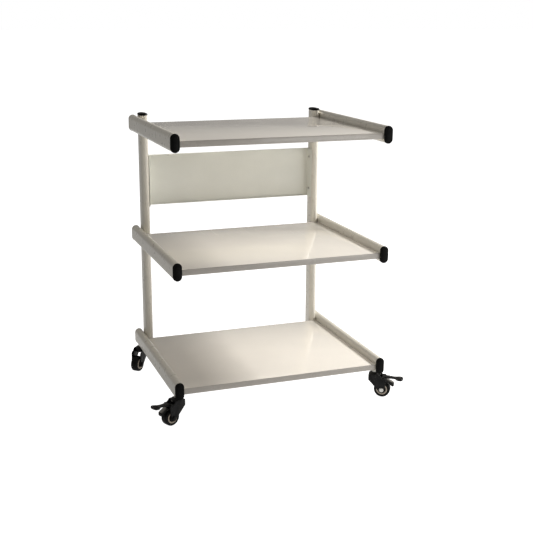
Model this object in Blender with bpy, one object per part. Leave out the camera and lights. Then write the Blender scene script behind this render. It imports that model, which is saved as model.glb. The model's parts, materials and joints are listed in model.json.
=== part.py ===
"""Rolling trolley with three shelves on a flat-oval tube frame, standing on four swivel casters.

Metres, +Z up. X runs across the trolley and is its plane of symmetry, the front faces -Y, and the origin
is on the floor under the middle of the whole object.
"""

import math

import bmesh
import bpy
from mathutils import Matrix, Vector

# ---- driving dimensions -------------------------------------------------------------------------------
GAP = 0.0003                      # clearance between pieces that touch

# flat-oval tube, used for arms and uprights
TUBE_WIDE = 0.050
TUBE_THIN = 0.025
TUBE_WALL = 0.0015
TUBE_ARC_STEPS = 8                # segments in each rounded edge of the tube

# side arms, running front to back
ARM_X = 0.313                     # centre line of an arm from the plane of symmetry
ARM_FRONT_Y = -0.245
ARM_REAR_Y = 0.2675
LEVELS = {"bottom": 0.1065, "middle": 0.4545, "top": 0.8065}

# uprights, against the inner faces of the arms
UPRIGHT_X = ARM_X - TUBE_THIN - GAP
UPRIGHT_Y = 0.2445
UPRIGHT_FOOT_Z = 0.0825
UPRIGHT_TOP_Z = LEVELS["top"] + TUBE_WIDE / 2 + 0.001

# end caps
CAP_OVERHANG = 0.0006
CAP_RIM = 0.003
CAP_PLUG_DEPTH = 0.012
CAP_DOME = {"front": 0.005, "rear": 0.004, "top": 0.0045, "foot": 0.0}
CAP_FOOT_RIM = 0.0025

# shelves
SHELF_THICK = 0.018
SHELF_RISE = 0.0055               # top face above the arm's centre line
SHELF_FRONT_Y = -0.2435
SHELF_REAR_Y = 0.219
SHELF_EDGE_RADIUS = 0.001

# back panel, a shallow folded tray between the uprights
PANEL_SHEET = 0.0015
PANEL_LOW_Z = 0.5455
PANEL_HIGH_Z = 0.7055
PANEL_FACE_Y = 0.2635
PANEL_FLANGE_FRONT_Y = 0.2260
PANEL_LIP = 0.007
PANEL_BEND = 0.0025
PANEL_BEND_STEPS = 3
PANEL_HALF = UPRIGHT_X - TUBE_THIN / 2 - GAP
SCREW_INSET = 0.027               # from the panel's upper and lower edges
SCREW_Y = 0.2420
SCREW_SHANK_R = 0.0021
SCREW_HOLE_R = 0.0025
SCREW_HEAD_R = 0.0045
SCREW_HEAD_H = 0.0032
SCREW_LENGTH = 0.009

# casters
WHEEL_R = 0.025
WHEEL_TRAIL = 0.025
TYRE_HALF = 0.012
HUB_R = 0.018
HUB_BARREL_R = 0.008
HUB_WEB_HALF = 0.0055
AXLE_R = 0.004
AXLE_HOLE_R = AXLE_R + GAP
AXLE_HEAD_R = 0.0065
AXLE_HEAD_H = 0.0035
LEG_INNER = 0.0145
LEG_OUTER = 0.0175
LEG_TOP_Z = 0.0735
BOSS_R = 0.0095
HOOD_REACH = 0.0165               # front of the fork's hood from the swivel axis
HOOD_LOW_Z = 0.054
HOOD_SHEET = 0.0025
HEAD_R = 0.0185
HEAD_LOW_Z = 0.0615
HEAD_TOP_Z = 0.077
KINGPIN_R = 0.006
KINGPIN_HOLE_R = KINGPIN_R + GAP
KINGPIN_RIVET_R = 0.009
STEM_R = 0.005
STEM_HOLE_R = STEM_R + GAP
STEM_TOP_Z = 0.103
COLLAR_R = 0.0095
TURN_STEPS = 24
TYRE_STEPS = 32

# foot brake
PEDAL_PIVOT = (0.0275, 0.0610)    # trail and height of the pedal's pin
PEDAL_BARREL_R = 0.004
PEDAL_PIN_R = 0.002
PEDAL_PIN_HEAD_R = 0.0035
PEDAL_PIN_HEAD_H = 0.0015
PEDAL_THICK = 0.004
PEDAL_LOW_Z = 0.0625
PAD_START = 0.0670                # trail at which the arm widens to the foot pad
PAD_DROP = 0.0025                 # how far the pad's edge hangs below the arm
CAM_SIZE = (0.007, 0.014, 0.010)
BRAKE_PLATE_THICK = 0.0015

# where each caster stands: side, centre line, and the direction in which its wheel trails, in degrees from +X
CASTER_FRONT_Y = -0.214
CASTER_REAR_Y = 0.2495
CASTERS = {
    "front_left": ((-ARM_X, CASTER_FRONT_Y), -156.0),
    "front_right": ((ARM_X, CASTER_FRONT_Y), -35.5),
    "rear_left": ((-ARM_X, CASTER_REAR_Y), -132.0),
    "rear_right": ((ARM_X, CASTER_REAR_Y), -48.0),
}
# casters with a foot brake, and how far each pedal stands above level at rest, in degrees
PEDAL_LIFT = {"front_left": 5.0, "front_right": -2.5}

SIDES = {"left": -1, "right": 1}

# colour, roughness, metallic
FINISHES = {
    "frame_paint": ((0.78, 0.76, 0.70), 0.35, 0.0),
    "board": ((0.86, 0.85, 0.82), 0.12, 0.0),
    "panel_paint": ((0.72, 0.72, 0.66), 0.40, 0.0),
    "black_plastic": ((0.012, 0.012, 0.013), 0.45, 0.0),
    "light_plastic": ((0.70, 0.68, 0.62), 0.50, 0.0),
    "tyre": ((0.015, 0.015, 0.016), 0.60, 0.0),
    "wheel_core": ((0.55, 0.50, 0.43), 0.50, 0.0),
    "steel": ((0.60, 0.60, 0.58), 0.30, 1.0),
}


# ---- mesh helpers -------------------------------------------------------------------------------------
def clear_scene():
    for item in list(bpy.data.objects):
        bpy.data.objects.remove(item, do_unlink=True)


def material(node, finish):
    colour, rough, metal = FINISHES[finish]
    mat = bpy.data.materials.new(node)
    mat.use_nodes = True
    shader = mat.node_tree.nodes["Principled BSDF"]
    shader.inputs["Base Color"].default_value = (*colour, 1.0)
    shader.inputs["Roughness"].default_value = rough
    shader.inputs["Metallic"].default_value = metal
    return mat


def loft(rings):
    """A closed bmesh through rings of equal length, filled at both ends."""
    bm = bmesh.new()
    loops = [[bm.verts.new(p) for p in ring] for ring in rings]
    count = len(rings[0])
    for low, high in zip(loops, loops[1:]):
        for i in range(count):
            j = (i + 1) % count
            bm.faces.new((low[i], low[j], high[j], high[i]))
    bm.faces.new(reversed(loops[0]))
    bm.faces.new(loops[-1])
    bmesh.ops.recalc_face_normals(bm, faces=bm.faces)
    return bm


def ring_loft(rings):
    """A closed bmesh through rings of equal length whose last ring joins the first, like a bored piece."""
    bm = bmesh.new()
    loops = [[bm.verts.new(p) for p in ring] for ring in rings]
    count = len(rings[0])
    for low, high in zip(loops, loops[1:] + loops[:1]):
        for i in range(count):
            j = (i + 1) % count
            bm.faces.new((low[i], low[j], high[j], high[i]))
    bmesh.ops.recalc_face_normals(bm, faces=bm.faces)
    return bm


def prism(outline, low, high):
    """Extrudes a flat outline, given as (u, v) points, from low to high along the third axis."""
    return loft([[(u, v, w) for u, v in outline] for w in (low, high)])


def turned(profile, steps=TURN_STEPS, bored=False):
    """A solid of revolution about Z from (radius, height) pairs; a bored one closes on its own profile."""
    rings = []
    for radius, height in profile:
        angles = (2 * math.pi * i / steps for i in range(steps))
        rings.append([(radius * math.cos(a), radius * math.sin(a), height) for a in angles])
    return ring_loft(rings) if bored else loft(rings)


def box(size, centre):
    bm = bmesh.new()
    bmesh.ops.create_cube(bm, size=1.0)
    bmesh.ops.scale(bm, vec=size, verts=bm.verts)
    bmesh.ops.translate(bm, vec=centre, verts=bm.verts)
    return bm


def placed(bm, matrix):
    bmesh.ops.transform(bm, matrix=matrix, verts=bm.verts)
    return bm


def stadium(width, height, steps=TUBE_ARC_STEPS):
    """Points of a flat oval, its long axis along the second coordinate."""
    radius = width / 2
    reach = height / 2 - radius
    points = []
    for side in (1, -1):
        for i in range(steps + 1):
            angle = math.pi * i / steps + (0 if side > 0 else math.pi)
            points.append((radius * math.cos(angle), side * reach + radius * math.sin(angle)))
    return points


def arc(centre, radius, start, end, steps):
    """Points on an arc, angles in degrees."""
    angles = (math.radians(start + (end - start) * i / steps) for i in range(steps + 1))
    return [(centre[0] + radius * math.cos(a), centre[1] + radius * math.sin(a)) for a in angles]


def combine(base, others, operation):
    """The boolean of a bmesh with others, as a new mesh."""
    holder = bpy.data.objects.new("holder", mesh_from(base, "holder"))
    bpy.context.collection.objects.link(holder)
    tools = []
    for other in others:
        tool = bpy.data.objects.new("tool", mesh_from(other, "tool"))
        bpy.context.collection.objects.link(tool)
        step = holder.modifiers.new("step", "BOOLEAN")
        step.operation = operation
        step.object = tool
        tools.append(tool)
    graph = bpy.context.evaluated_depsgraph_get()
    result = bmesh.new()
    result.from_mesh(holder.evaluated_get(graph).to_mesh())
    for item in [holder, *tools]:
        bpy.data.objects.remove(item, do_unlink=True)
    return result


def mesh_from(bm, name):
    mesh = bpy.data.meshes.new(name)
    bm.to_mesh(mesh)
    bm.free()
    return mesh


def add_piece(name, bm, finish, location=(0, 0, 0), turn=0.0, parent=None):
    """Links a bmesh as a named object with its own material; turn is about Z."""
    mesh = mesh_from(bm, name)
    mesh.materials.append(material(name, finish))
    mesh.shade_smooth()
    mesh.set_sharp_from_angle(angle=math.radians(32))
    piece = bpy.data.objects.new(name, mesh)
    bpy.context.collection.objects.link(piece)
    piece.location = location
    piece.rotation_euler = (0, 0, turn)
    piece.parent = parent
    return piece


# ---- frame --------------------------------------------------------------------------------------------
def tube(length, holes=()):
    """An open flat-oval tube from z = 0 to length; each hole is (matrix, radius) of a round cutter."""
    outer = stadium(TUBE_THIN, TUBE_WIDE)
    inner = stadium(TUBE_THIN - 2 * TUBE_WALL, TUBE_WIDE - 2 * TUBE_WALL)
    rings = [
        [(u, v, 0) for u, v in outer],
        [(u, v, length) for u, v in outer],
        [(u, v, length) for u, v in inner],
        [(u, v, 0) for u, v in inner],
    ]
    body = ring_loft(rings)
    if not holes:
        return body
    reach = 3 * TUBE_WALL
    drills = [placed(turned([(r, -reach), (r, reach)], 16), matrix) for matrix, r in holes]
    return combine(body, drills, "DIFFERENCE")


def end_cap(rim, dome):
    """A tube cap with its rim on z = 0, plug below and domed face above."""
    def ring(inset, z):
        return [(u, v, z) for u, v in stadium(TUBE_THIN - 2 * inset, TUBE_WIDE - 2 * inset)]

    plug = TUBE_WALL + GAP
    edge = 0.0008
    rings = [
        ring(plug + edge, -CAP_PLUG_DEPTH),
        ring(plug, -CAP_PLUG_DEPTH + 2 * edge),
        ring(plug, GAP),
        ring(-CAP_OVERHANG, GAP),
        ring(-CAP_OVERHANG, rim),
    ]
    if dome:
        spread = 0.008
        for step in (1, 2):
            turn = math.radians(45 * step)
            rings.append(ring(spread * (1 - math.cos(turn)) - CAP_OVERHANG, rim + dome * math.sin(turn)))
    else:
        rings.append(ring(edge - CAP_OVERHANG, rim + edge))
    return loft(rings)


def facing(axis_z, axis_y=(0, 0, 1)):
    """Rotation that turns a piece's own Z to axis_z and its own Y to axis_y."""
    z, y = Vector(axis_z), Vector(axis_y)
    return Matrix((y.cross(z), y, z)).transposed().to_4x4()


def build_arms():
    along = facing((0, 1, 0))
    for level, z in LEVELS.items():
        for side, sign in SIDES.items():
            holes = []
            if level == "bottom":
                for centre in (spot for spot, _ in CASTERS.values() if spot[0] * sign > 0):
                    depth = centre[1] - ARM_FRONT_Y
                    wall = Vector((0, -TUBE_WIDE / 2 + TUBE_WALL / 2, depth))
                    holes.append((Matrix.Translation(wall) @ facing((0, 1, 0), (0, 0, 1)), STEM_HOLE_R))
            body = placed(tube(ARM_REAR_Y - ARM_FRONT_Y, holes), along)
            name = f"{level}_{side}"
            add_piece(f"arm_{name}", body, "frame_paint", (sign * ARM_X, ARM_FRONT_Y, z))
            front = placed(end_cap(CAP_RIM, CAP_DOME["front"]), facing((0, -1, 0)))
            add_piece(f"front_cap_{name}", front, "black_plastic", (sign * ARM_X, ARM_FRONT_Y, z))
            rear = placed(end_cap(CAP_RIM, CAP_DOME["rear"]), along)
            add_piece(f"rear_cap_{name}", rear, "light_plastic", (sign * ARM_X, ARM_REAR_Y, z))


def screw_heights():
    return {"lower": PANEL_LOW_Z + SCREW_INSET, "upper": PANEL_HIGH_Z - SCREW_INSET}


def build_uprights():
    length = UPRIGHT_TOP_Z - UPRIGHT_FOOT_Z
    for side, sign in SIDES.items():
        wall_x = -sign * (TUBE_THIN - TUBE_WALL) / 2
        holes = []
        for z in screw_heights().values():
            spot = Matrix.Translation((wall_x, SCREW_Y - UPRIGHT_Y, z - UPRIGHT_FOOT_Z))
            holes.append((spot @ facing((1, 0, 0)), SCREW_HOLE_R))
        place = (sign * UPRIGHT_X, UPRIGHT_Y, UPRIGHT_FOOT_Z)
        add_piece(f"upright_{side}", tube(length, holes), "frame_paint", place)
        top = end_cap(CAP_RIM, CAP_DOME["top"])
        add_piece(f"upright_cap_{side}", top, "black_plastic", (place[0], UPRIGHT_Y, UPRIGHT_TOP_Z))
        foot = placed(end_cap(CAP_FOOT_RIM - 0.0008, CAP_DOME["foot"]), facing((0, 0, -1), (0, 1, 0)))
        add_piece(f"foot_plug_{side}", foot, "black_plastic", place)


def build_shelves():
    half = ARM_X - TUBE_THIN / 2 - GAP
    size = (2 * half, SHELF_REAR_Y - SHELF_FRONT_Y, SHELF_THICK)
    for level, z in LEVELS.items():
        bm = box(size, (0, 0, 0))
        edges = bm.edges[:]
        bmesh.ops.bevel(bm, geom=edges, offset=SHELF_EDGE_RADIUS, segments=2, affect="EDGES", profile=0.5)
        place = (0, (SHELF_REAR_Y + SHELF_FRONT_Y) / 2, z + SHELF_RISE - SHELF_THICK / 2)
        add_piece(f"shelf_{level}", bm, "board", place)


def panel_plan():
    """Outline of the folded sheet seen from above: a shallow U, open to the front, with rounded bends."""
    outer_back = PANEL_FACE_Y + PANEL_SHEET
    inner = PANEL_HALF - PANEL_SHEET
    bend, steps = PANEL_BEND, PANEL_BEND_STEPS
    small = bend - PANEL_SHEET
    right = arc((PANEL_HALF - bend, outer_back - bend), bend, 0, 90, steps)
    left = arc((bend - PANEL_HALF, outer_back - bend), bend, 90, 180, steps)
    inner_left = arc((small - inner, PANEL_FACE_Y - small), small, 180, 90, steps)
    inner_right = arc((inner - small, PANEL_FACE_Y - small), small, 90, 0, steps)
    front = PANEL_FLANGE_FRONT_Y
    return [
        (PANEL_HALF, front), *right, *left, (-PANEL_HALF, front), (-inner, front),
        *inner_left, *inner_right, (inner, front),
    ]


def build_panel():
    tray = prism(panel_plan(), PANEL_LOW_Z, PANEL_HIGH_Z)
    width = 2 * PANEL_HALF - PANEL_SHEET
    depth = PANEL_LIP + PANEL_SHEET / 2
    middle_y = PANEL_FACE_Y + PANEL_SHEET / 2 - depth / 2
    inset = PANEL_SHEET / 2 + 0.00002
    lips = [
        box((width, depth, PANEL_SHEET), (0, middle_y, z))
        for z in (PANEL_LOW_Z + inset, PANEL_HIGH_Z - inset)
    ]
    sheet = combine(tray, lips, "UNION")
    drills = []
    for sign in SIDES.values():
        for z in screw_heights().values():
            spot = Matrix.Translation((sign * (PANEL_HALF - PANEL_SHEET / 2), SCREW_Y, z))
            drill = turned([(SCREW_HOLE_R, -2 * PANEL_SHEET), (SCREW_HOLE_R, 2 * PANEL_SHEET)], 16)
            drills.append(placed(drill, spot @ facing((1, 0, 0))))
    add_piece("back_panel", combine(sheet, drills, "DIFFERENCE"), "panel_paint")

    head_base = GAP
    screw_profile = [
        (SCREW_SHANK_R, -SCREW_LENGTH),
        (SCREW_SHANK_R, head_base),
        (SCREW_HEAD_R, head_base),
        (SCREW_HEAD_R, head_base + 0.4 * SCREW_HEAD_H),
        (0.8 * SCREW_HEAD_R, head_base + 0.85 * SCREW_HEAD_H),
        (0.35 * SCREW_HEAD_R, head_base + SCREW_HEAD_H),
    ]
    for side, sign in SIDES.items():
        for height, z in screw_heights().items():
            screw = placed(turned(screw_profile, 16), facing((-sign, 0, 0)))
            seat = (sign * (PANEL_HALF - PANEL_SHEET), SCREW_Y, z)
            add_piece(f"panel_screw_{side}_{height}", screw, "steel", seat)


# ---- casters, each in its own axes: +X is where the wheel trails, Z is the swivel axis -----------------
ACROSS = Matrix.Rotation(math.radians(90), 4, "X")    # lays a piece's own Z across the fork


def stem():
    """Threaded stem, hexagonal collar and kingpin with its riveted end, in one piece."""
    low = HEAD_LOW_Z - GAP
    spindle = turned([
        (KINGPIN_RIVET_R, low - 0.0025),
        (KINGPIN_RIVET_R, low),
        (KINGPIN_R, low),
        (KINGPIN_R, HEAD_TOP_Z + 0.001),
        (STEM_R, HEAD_TOP_Z + 0.001),
        (STEM_R, STEM_TOP_Z - 0.001),
        (STEM_R - 0.001, STEM_TOP_Z),
    ], 20)
    collar_top = LEVELS["bottom"] - TUBE_WIDE / 2 - GAP
    collar = turned([(COLLAR_R, HEAD_TOP_Z + GAP), (COLLAR_R, collar_top)], 6)
    return combine(spindle, [collar], "UNION")


def leg_outline(braked):
    """Side view of a fork leg, as (trail, height) points; a braked one reaches back past the pedal's pin."""
    boss = arc((WHEEL_TRAIL, WHEEL_R), BOSS_R, 215, 385, 8)
    nose = [
        (0.0025 - HOOD_REACH, LEG_TOP_Z), (-HOOD_REACH, LEG_TOP_Z - 0.0025), (-HOOD_REACH, HOOD_LOW_Z + 0.001),
    ]
    if braked:
        back = [(0.0370, 0.0450), (0.0370, 0.0600), (0.0330, 0.0655), (0.0230, 0.0655), (0.0150, LEG_TOP_Z)]
    else:
        back = [(0.0315, 0.0430), (0.0315, 0.0600), (0.0285, 0.0640), (0.0230, 0.0655), (0.0150, LEG_TOP_Z)]
    return nose + boss + back


def fork(braked):
    """Swivel head with a hood in front and a leg each side of the wheel, drilled for its pins."""
    parts = [
        placed(prism(leg_outline(braked), low, high), ACROSS)
        for low, high in ((LEG_INNER, LEG_OUTER), (-LEG_OUTER, -LEG_INNER))
    ]
    front, inner = -HOOD_REACH, HOOD_SHEET - HOOD_REACH
    hood = [
        (front, HOOD_LOW_Z), (inner, HOOD_LOW_Z), (inner, HEAD_LOW_Z), (0.001, HEAD_LOW_Z),
        (0.001, LEG_TOP_Z), (inner, LEG_TOP_Z), (front, LEG_TOP_Z - 0.0025),
    ]
    parts.append(placed(prism(hood, 0.0001 - LEG_OUTER, LEG_OUTER - 0.0001), ACROSS))
    head = turned([
        (HEAD_R, HEAD_LOW_Z), (HEAD_R, HEAD_TOP_Z - 0.0065), (HEAD_R - 0.0012, HEAD_TOP_Z - 0.0030),
        (HEAD_R - 0.0045, HEAD_TOP_Z - 0.0005), (HEAD_R - 0.0070, HEAD_TOP_Z),
    ])
    solid = combine(head, parts, "UNION")
    drills = [turned([(KINGPIN_HOLE_R, HOOD_LOW_Z), (KINGPIN_HOLE_R, 2 * HEAD_TOP_Z)], 20)]
    across = [(WHEEL_TRAIL, WHEEL_R, AXLE_HOLE_R)]
    if braked:
        across.append((*PEDAL_PIVOT, PEDAL_PIN_R + GAP))
    for trail, height, radius in across:
        drill = turned([(radius, -2 * LEG_OUTER), (radius, 2 * LEG_OUTER)], 16)
        drills.append(placed(drill, Matrix.Translation((trail, 0, height)) @ ACROSS))
    return combine(solid, drills, "DIFFERENCE")


def tyre():
    """Tyre about Z whose facets, not their corners, lie at the wheel's radius, so one rests on the floor."""
    half, radius = TYRE_HALF, WHEEL_R / math.cos(math.pi / TYRE_STEPS)
    bore = HUB_R + GAP
    ring = turned([
        (bore, -half + 0.001), (radius - 0.0045, -half), (radius - 0.0012, -half + 0.002),
        (radius, -half + 0.006), (radius, half - 0.006), (radius - 0.0012, half - 0.002),
        (radius - 0.0045, half), (bore, half - 0.001),
    ], TYRE_STEPS, bored=True)
    return placed(ring, Matrix.Rotation(math.pi / TYRE_STEPS, 4, "Z"))


def hub():
    side = TYRE_HALF - 0.0008
    inner_rim = HUB_R - 0.0045
    end = LEG_INNER - GAP
    web = HUB_WEB_HALF
    return turned([
        (AXLE_HOLE_R, -end), (HUB_BARREL_R, -end), (HUB_BARREL_R, -web), (inner_rim, -web),
        (inner_rim, -side),
        (HUB_R, -side), (HUB_R, side), (inner_rim, side), (inner_rim, web), (HUB_BARREL_R, web),
        (HUB_BARREL_R, end), (AXLE_HOLE_R, end),
    ], bored=True)


def cross_pin(radius, head_radius, head_height, steps):
    """A pin across the fork with a head outside each leg."""
    seat = LEG_OUTER + GAP
    chamfer = 0.25 * head_height
    return turned([
        (head_radius - chamfer, -seat - head_height), (head_radius, -seat - head_height + chamfer),
        (head_radius, -seat), (radius, -seat), (radius, seat), (head_radius, seat),
        (head_radius, seat + head_height - chamfer), (head_radius - chamfer, seat + head_height),
    ], steps)


def pedal_outline(start=0.0, inset=0.0):
    """Plan of the pedal from a trail onwards: an arm that flares to a round pad, narrowed by the inset."""
    edge = [
        (0.0285, 0.0100), (0.0440, 0.0100), (0.0520, 0.0085), (0.0600, 0.0080), (0.0680, 0.0105),
        (0.0750, 0.0140), (0.0810, 0.0145), (0.0850, 0.0120), (0.0872, 0.0060),
    ]
    near = [(x - inset, y - inset) for x, y in edge if x > start]
    return near + [(0.0880 - inset, 0.0)] + [(x, -y) for x, y in reversed(near)]


def pedal(lift):
    """Brake pedal about its pin, raised by lift degrees: arm, foot pad with a deep edge, barrel and cam."""
    pivot_x, pivot_z = PEDAL_PIVOT
    plate = prism(pedal_outline(), PEDAL_LOW_Z, PEDAL_LOW_Z + PEDAL_THICK)
    bmesh.ops.bevel(
        plate, geom=[e for e in plate.edges if abs(e.verts[0].co.z - e.verts[1].co.z) < 1e-6],
        offset=0.0009, segments=1, affect="EDGES",
    )
    pad = prism(pedal_outline(PAD_START, 0.0004), PEDAL_LOW_Z - PAD_DROP, PEDAL_LOW_Z + PEDAL_THICK / 2)
    width = LEG_INNER - GAP
    pin_line = Matrix.Translation((pivot_x, 0, pivot_z)) @ ACROSS
    barrel = placed(turned([(PEDAL_BARREL_R, -width), (PEDAL_BARREL_R, width)], 16), pin_line)
    cam = box(CAM_SIZE, (pivot_x + 0.0005, 0, pivot_z - CAM_SIZE[2] / 2))
    solid = combine(plate, [pad, barrel, cam], "UNION")
    hole = PEDAL_PIN_R + GAP
    drill = placed(turned([(hole, -2 * width), (hole, 2 * width)], 16), pin_line)
    solid = combine(solid, [drill], "DIFFERENCE")
    raised = Matrix.Rotation(math.radians(-lift), 4, "Y")
    return placed(solid, raised @ Matrix.Translation((-pivot_x, 0, -pivot_z)))


def brake_plate():
    """Bent plate between the legs, sloping out over the wheel under the pedal.

    Its end is turned down, and a web below each side stiffens the overhang."""
    between = LEG_INNER - GAP
    spine = [
        (0.0325, 0.0560, between), (0.0375, 0.0545, between), (0.0555, 0.0480, 0.0095),
        (0.0585, 0.0462, 0.0090), (0.0600, 0.0432, 0.0085), (0.0605, 0.0370, 0.0070),
    ]
    rings = []
    for i, (x, z, half) in enumerate(spine):
        before, after = spine[max(i - 1, 0)], spine[min(i + 1, len(spine) - 1)]
        along = Vector((after[0] - before[0], after[1] - before[1])).normalized() * BRAKE_PLATE_THICK / 2
        low, high = (x + along.y, z - along.x), (x - along.y, z + along.x)
        rings.append([(u, w, v) for (u, v), w in ((low, -half), (low, half), (high, half), (high, -half))])
    side = [
        (0.0440, 0.0521), (0.0445, 0.0465), (0.0505, 0.0395), (0.0570, 0.0352), (0.0604, 0.0380), (0.0600, 0.0432),
        (0.0585, 0.0462), (0.0555, 0.0480),
    ]
    webs = [placed(prism(side, low, high), ACROSS) for low, high in ((0.0053, 0.0066), (-0.0066, -0.0053))]
    return combine(loft(rings), webs, "UNION")


def build_caster(name, centre, trail_angle):
    turn = math.radians(trail_angle)
    braked = name in PEDAL_LIFT
    swivel = bpy.data.objects.new(f"swivel_axis_{name}", None)
    bpy.context.collection.objects.link(swivel)
    swivel.location = (*centre, 0)
    swivel.rotation_euler = (0, 0, turn)

    add_piece(f"stem_{name}", stem(), "steel", (*centre, 0), turn)
    add_piece(f"fork_{name}", fork(braked), "black_plastic", parent=swivel)

    axle_spot = (WHEEL_TRAIL, 0, WHEEL_R)
    add_piece(f"tyre_{name}", placed(tyre(), ACROSS), "tyre", axle_spot, parent=swivel)
    add_piece(f"hub_{name}", placed(hub(), ACROSS), "wheel_core", axle_spot, parent=swivel)
    pin = cross_pin(AXLE_R, AXLE_HEAD_R, AXLE_HEAD_H, 18)
    add_piece(f"axle_{name}", placed(pin, ACROSS), "steel", axle_spot, parent=swivel)
    if braked:
        pivot_spot = (PEDAL_PIVOT[0], 0, PEDAL_PIVOT[1])
        add_piece(f"pedal_{name}", pedal(PEDAL_LIFT[name]), "black_plastic", pivot_spot, parent=swivel)
        rivet = cross_pin(PEDAL_PIN_R, PEDAL_PIN_HEAD_R, PEDAL_PIN_HEAD_H, 14)
        add_piece(f"pedal_pin_{name}", placed(rivet, ACROSS), "steel", pivot_spot, parent=swivel)
        add_piece(f"brake_plate_{name}", brake_plate(), "steel", parent=swivel)


def main():
    clear_scene()
    build_arms()
    build_uprights()
    build_shelves()
    build_panel()
    for name, (centre, trail_angle) in CASTERS.items():
        build_caster(name, centre, trail_angle)


main()
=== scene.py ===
"""Looks of the rolling salon trolley: finer pieces, procedural materials, studio light and camera."""

import json
import math

import bmesh
import bpy
from mathutils import Matrix, Vector


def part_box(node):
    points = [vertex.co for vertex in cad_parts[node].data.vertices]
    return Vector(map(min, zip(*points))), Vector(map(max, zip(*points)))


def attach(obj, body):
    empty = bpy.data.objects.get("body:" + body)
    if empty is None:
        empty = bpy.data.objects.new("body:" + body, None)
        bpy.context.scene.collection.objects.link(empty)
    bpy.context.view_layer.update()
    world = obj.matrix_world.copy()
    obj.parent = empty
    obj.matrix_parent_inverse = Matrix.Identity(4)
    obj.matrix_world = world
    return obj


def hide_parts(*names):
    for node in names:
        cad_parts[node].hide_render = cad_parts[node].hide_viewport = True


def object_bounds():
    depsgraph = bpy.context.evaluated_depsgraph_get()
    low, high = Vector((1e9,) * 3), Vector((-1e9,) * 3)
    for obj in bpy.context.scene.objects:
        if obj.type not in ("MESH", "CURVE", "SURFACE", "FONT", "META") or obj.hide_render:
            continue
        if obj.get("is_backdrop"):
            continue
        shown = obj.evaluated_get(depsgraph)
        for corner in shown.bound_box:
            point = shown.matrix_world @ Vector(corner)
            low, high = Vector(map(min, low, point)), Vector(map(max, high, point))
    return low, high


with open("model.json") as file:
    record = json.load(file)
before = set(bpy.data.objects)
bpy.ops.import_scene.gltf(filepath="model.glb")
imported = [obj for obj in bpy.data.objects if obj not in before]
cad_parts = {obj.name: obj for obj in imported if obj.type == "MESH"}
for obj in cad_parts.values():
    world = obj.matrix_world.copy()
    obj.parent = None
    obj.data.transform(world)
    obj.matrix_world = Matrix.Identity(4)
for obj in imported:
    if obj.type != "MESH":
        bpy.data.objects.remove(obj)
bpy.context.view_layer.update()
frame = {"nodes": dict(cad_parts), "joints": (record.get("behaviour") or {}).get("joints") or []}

# ---- sizes that the CAD leaves to the looks, in metres --------------------------------------------------
GAP = 0.0003               # clearance between pieces that touch
OVAL_STEPS = 24            # segments in each rounded edge of a flat oval
TUBE_WALL = 0.0015
TUBE_EDGE = 0.0003
CAP_OVERHANG = 0.0006      # the caps stand this far proud of their tube all round
CAP_RIM = 0.003
CAP_FOOT_RIM = 0.0012
CAP_SHOULDER = 0.0035
CAP_GROOVE = 0.0003
CAP_PLUG_DEPTH = 0.011
SHELF_EDGE = 0.0011
PANEL_SHEET = 0.0015
PANEL_BEND = 0.0025
PANEL_LIP = 0.007
PANEL_EDGE = 0.00035
SCREW_HEAD_H = 0.0032
SCREW_SHANK_R = 0.0021
SCREW_SLOT = (0.0050, 0.0010, 0.0026)

LEVELS = ("bottom", "middle", "top")
SIDES = ("left", "right")

# ---- camera and light -----------------------------------------------------------------------------------
CAMERA_AT = (-0.9510, -2.7088, 1.1398)
CAMERA_AZIMUTH = -20.01    # degrees, 0 looks along +Y
CAMERA_DOWN = 14.76
CAMERA_ROLL = 0.31
CAMERA_LENS = 64.97
SENSOR = 36.0
KEY_AT = (2.80, 0.12, 2.187)
KEY_SIZE = (0.55, 0.55)
KEY_POWER = 136
KEY_COLOUR = (1.0, 0.975, 0.94)
FILL_AT = (1.6, -3.2, 0.5)
FILL_SIZE = (1.6, 1.2)
FILL_POWER = 9
FILL_COLOUR = (1.0, 0.985, 0.95)
SKY_LEAN = (0.10, 0.10, 0.40)    # the sky brightens this way
SKY_FROM, SKY_TO = -0.5, 0.5
SKY_LOW, SKY_HIGH = 0.06, 0.38
SKY_COLOUR = (1.0, 0.965, 0.915, 1)
FLOOR_SEEN = 1.05          # the floor's own glow as the camera sees it
FLOOR_TONE = 0.35
FLOOR_DIM, FLOOR_BRIGHT = 0.20, 1.20    # the glow it lights the trolley with, at the left and at the right
FLOOR_LEAN = (1.0, 0.15, 0.0)
FLOOR_FROM, FLOOR_TO = -0.7, 1.8
FLOOR_HALF = 60.0
FLOOR_ROUGHNESS = 0.9


# ---- mesh helpers ---------------------------------------------------------------------------------------
def loft(rings, closed=False):
    """A bmesh through rings of equal length, capped at both ends, or joined last to first if closed."""
    bm = bmesh.new()
    loops = [[bm.verts.new(p) for p in ring] for ring in rings]
    count = len(rings[0])
    following = loops[1:] + loops[:1] if closed else loops[1:]
    for low, high in zip(loops, following):
        for i in range(count):
            j = (i + 1) % count
            bm.faces.new((low[i], low[j], high[j], high[i]))
    if not closed:
        bm.faces.new(reversed(loops[0]))
        bm.faces.new(loops[-1])
    bmesh.ops.recalc_face_normals(bm, faces=bm.faces)
    return bm


def turned(profile, steps=48, closed=False):
    """A solid of revolution about Z from (radius, height) pairs."""
    rings = []
    for radius, height in profile:
        angles = (2 * math.pi * i / steps for i in range(steps))
        rings.append([(radius * math.cos(a), radius * math.sin(a), height) for a in angles])
    return loft(rings, closed)


def prism(outline, low, high):
    return loft([[(u, v, w) for u, v in outline] for w in (low, high)])


def block(size, centre):
    bm = bmesh.new()
    bmesh.ops.create_cube(bm, size=1.0)
    bmesh.ops.scale(bm, vec=size, verts=bm.verts)
    bmesh.ops.translate(bm, vec=centre, verts=bm.verts)
    return bm


def placed(bm, matrix):
    bmesh.ops.transform(bm, matrix=matrix, verts=bm.verts)
    return bm


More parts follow.
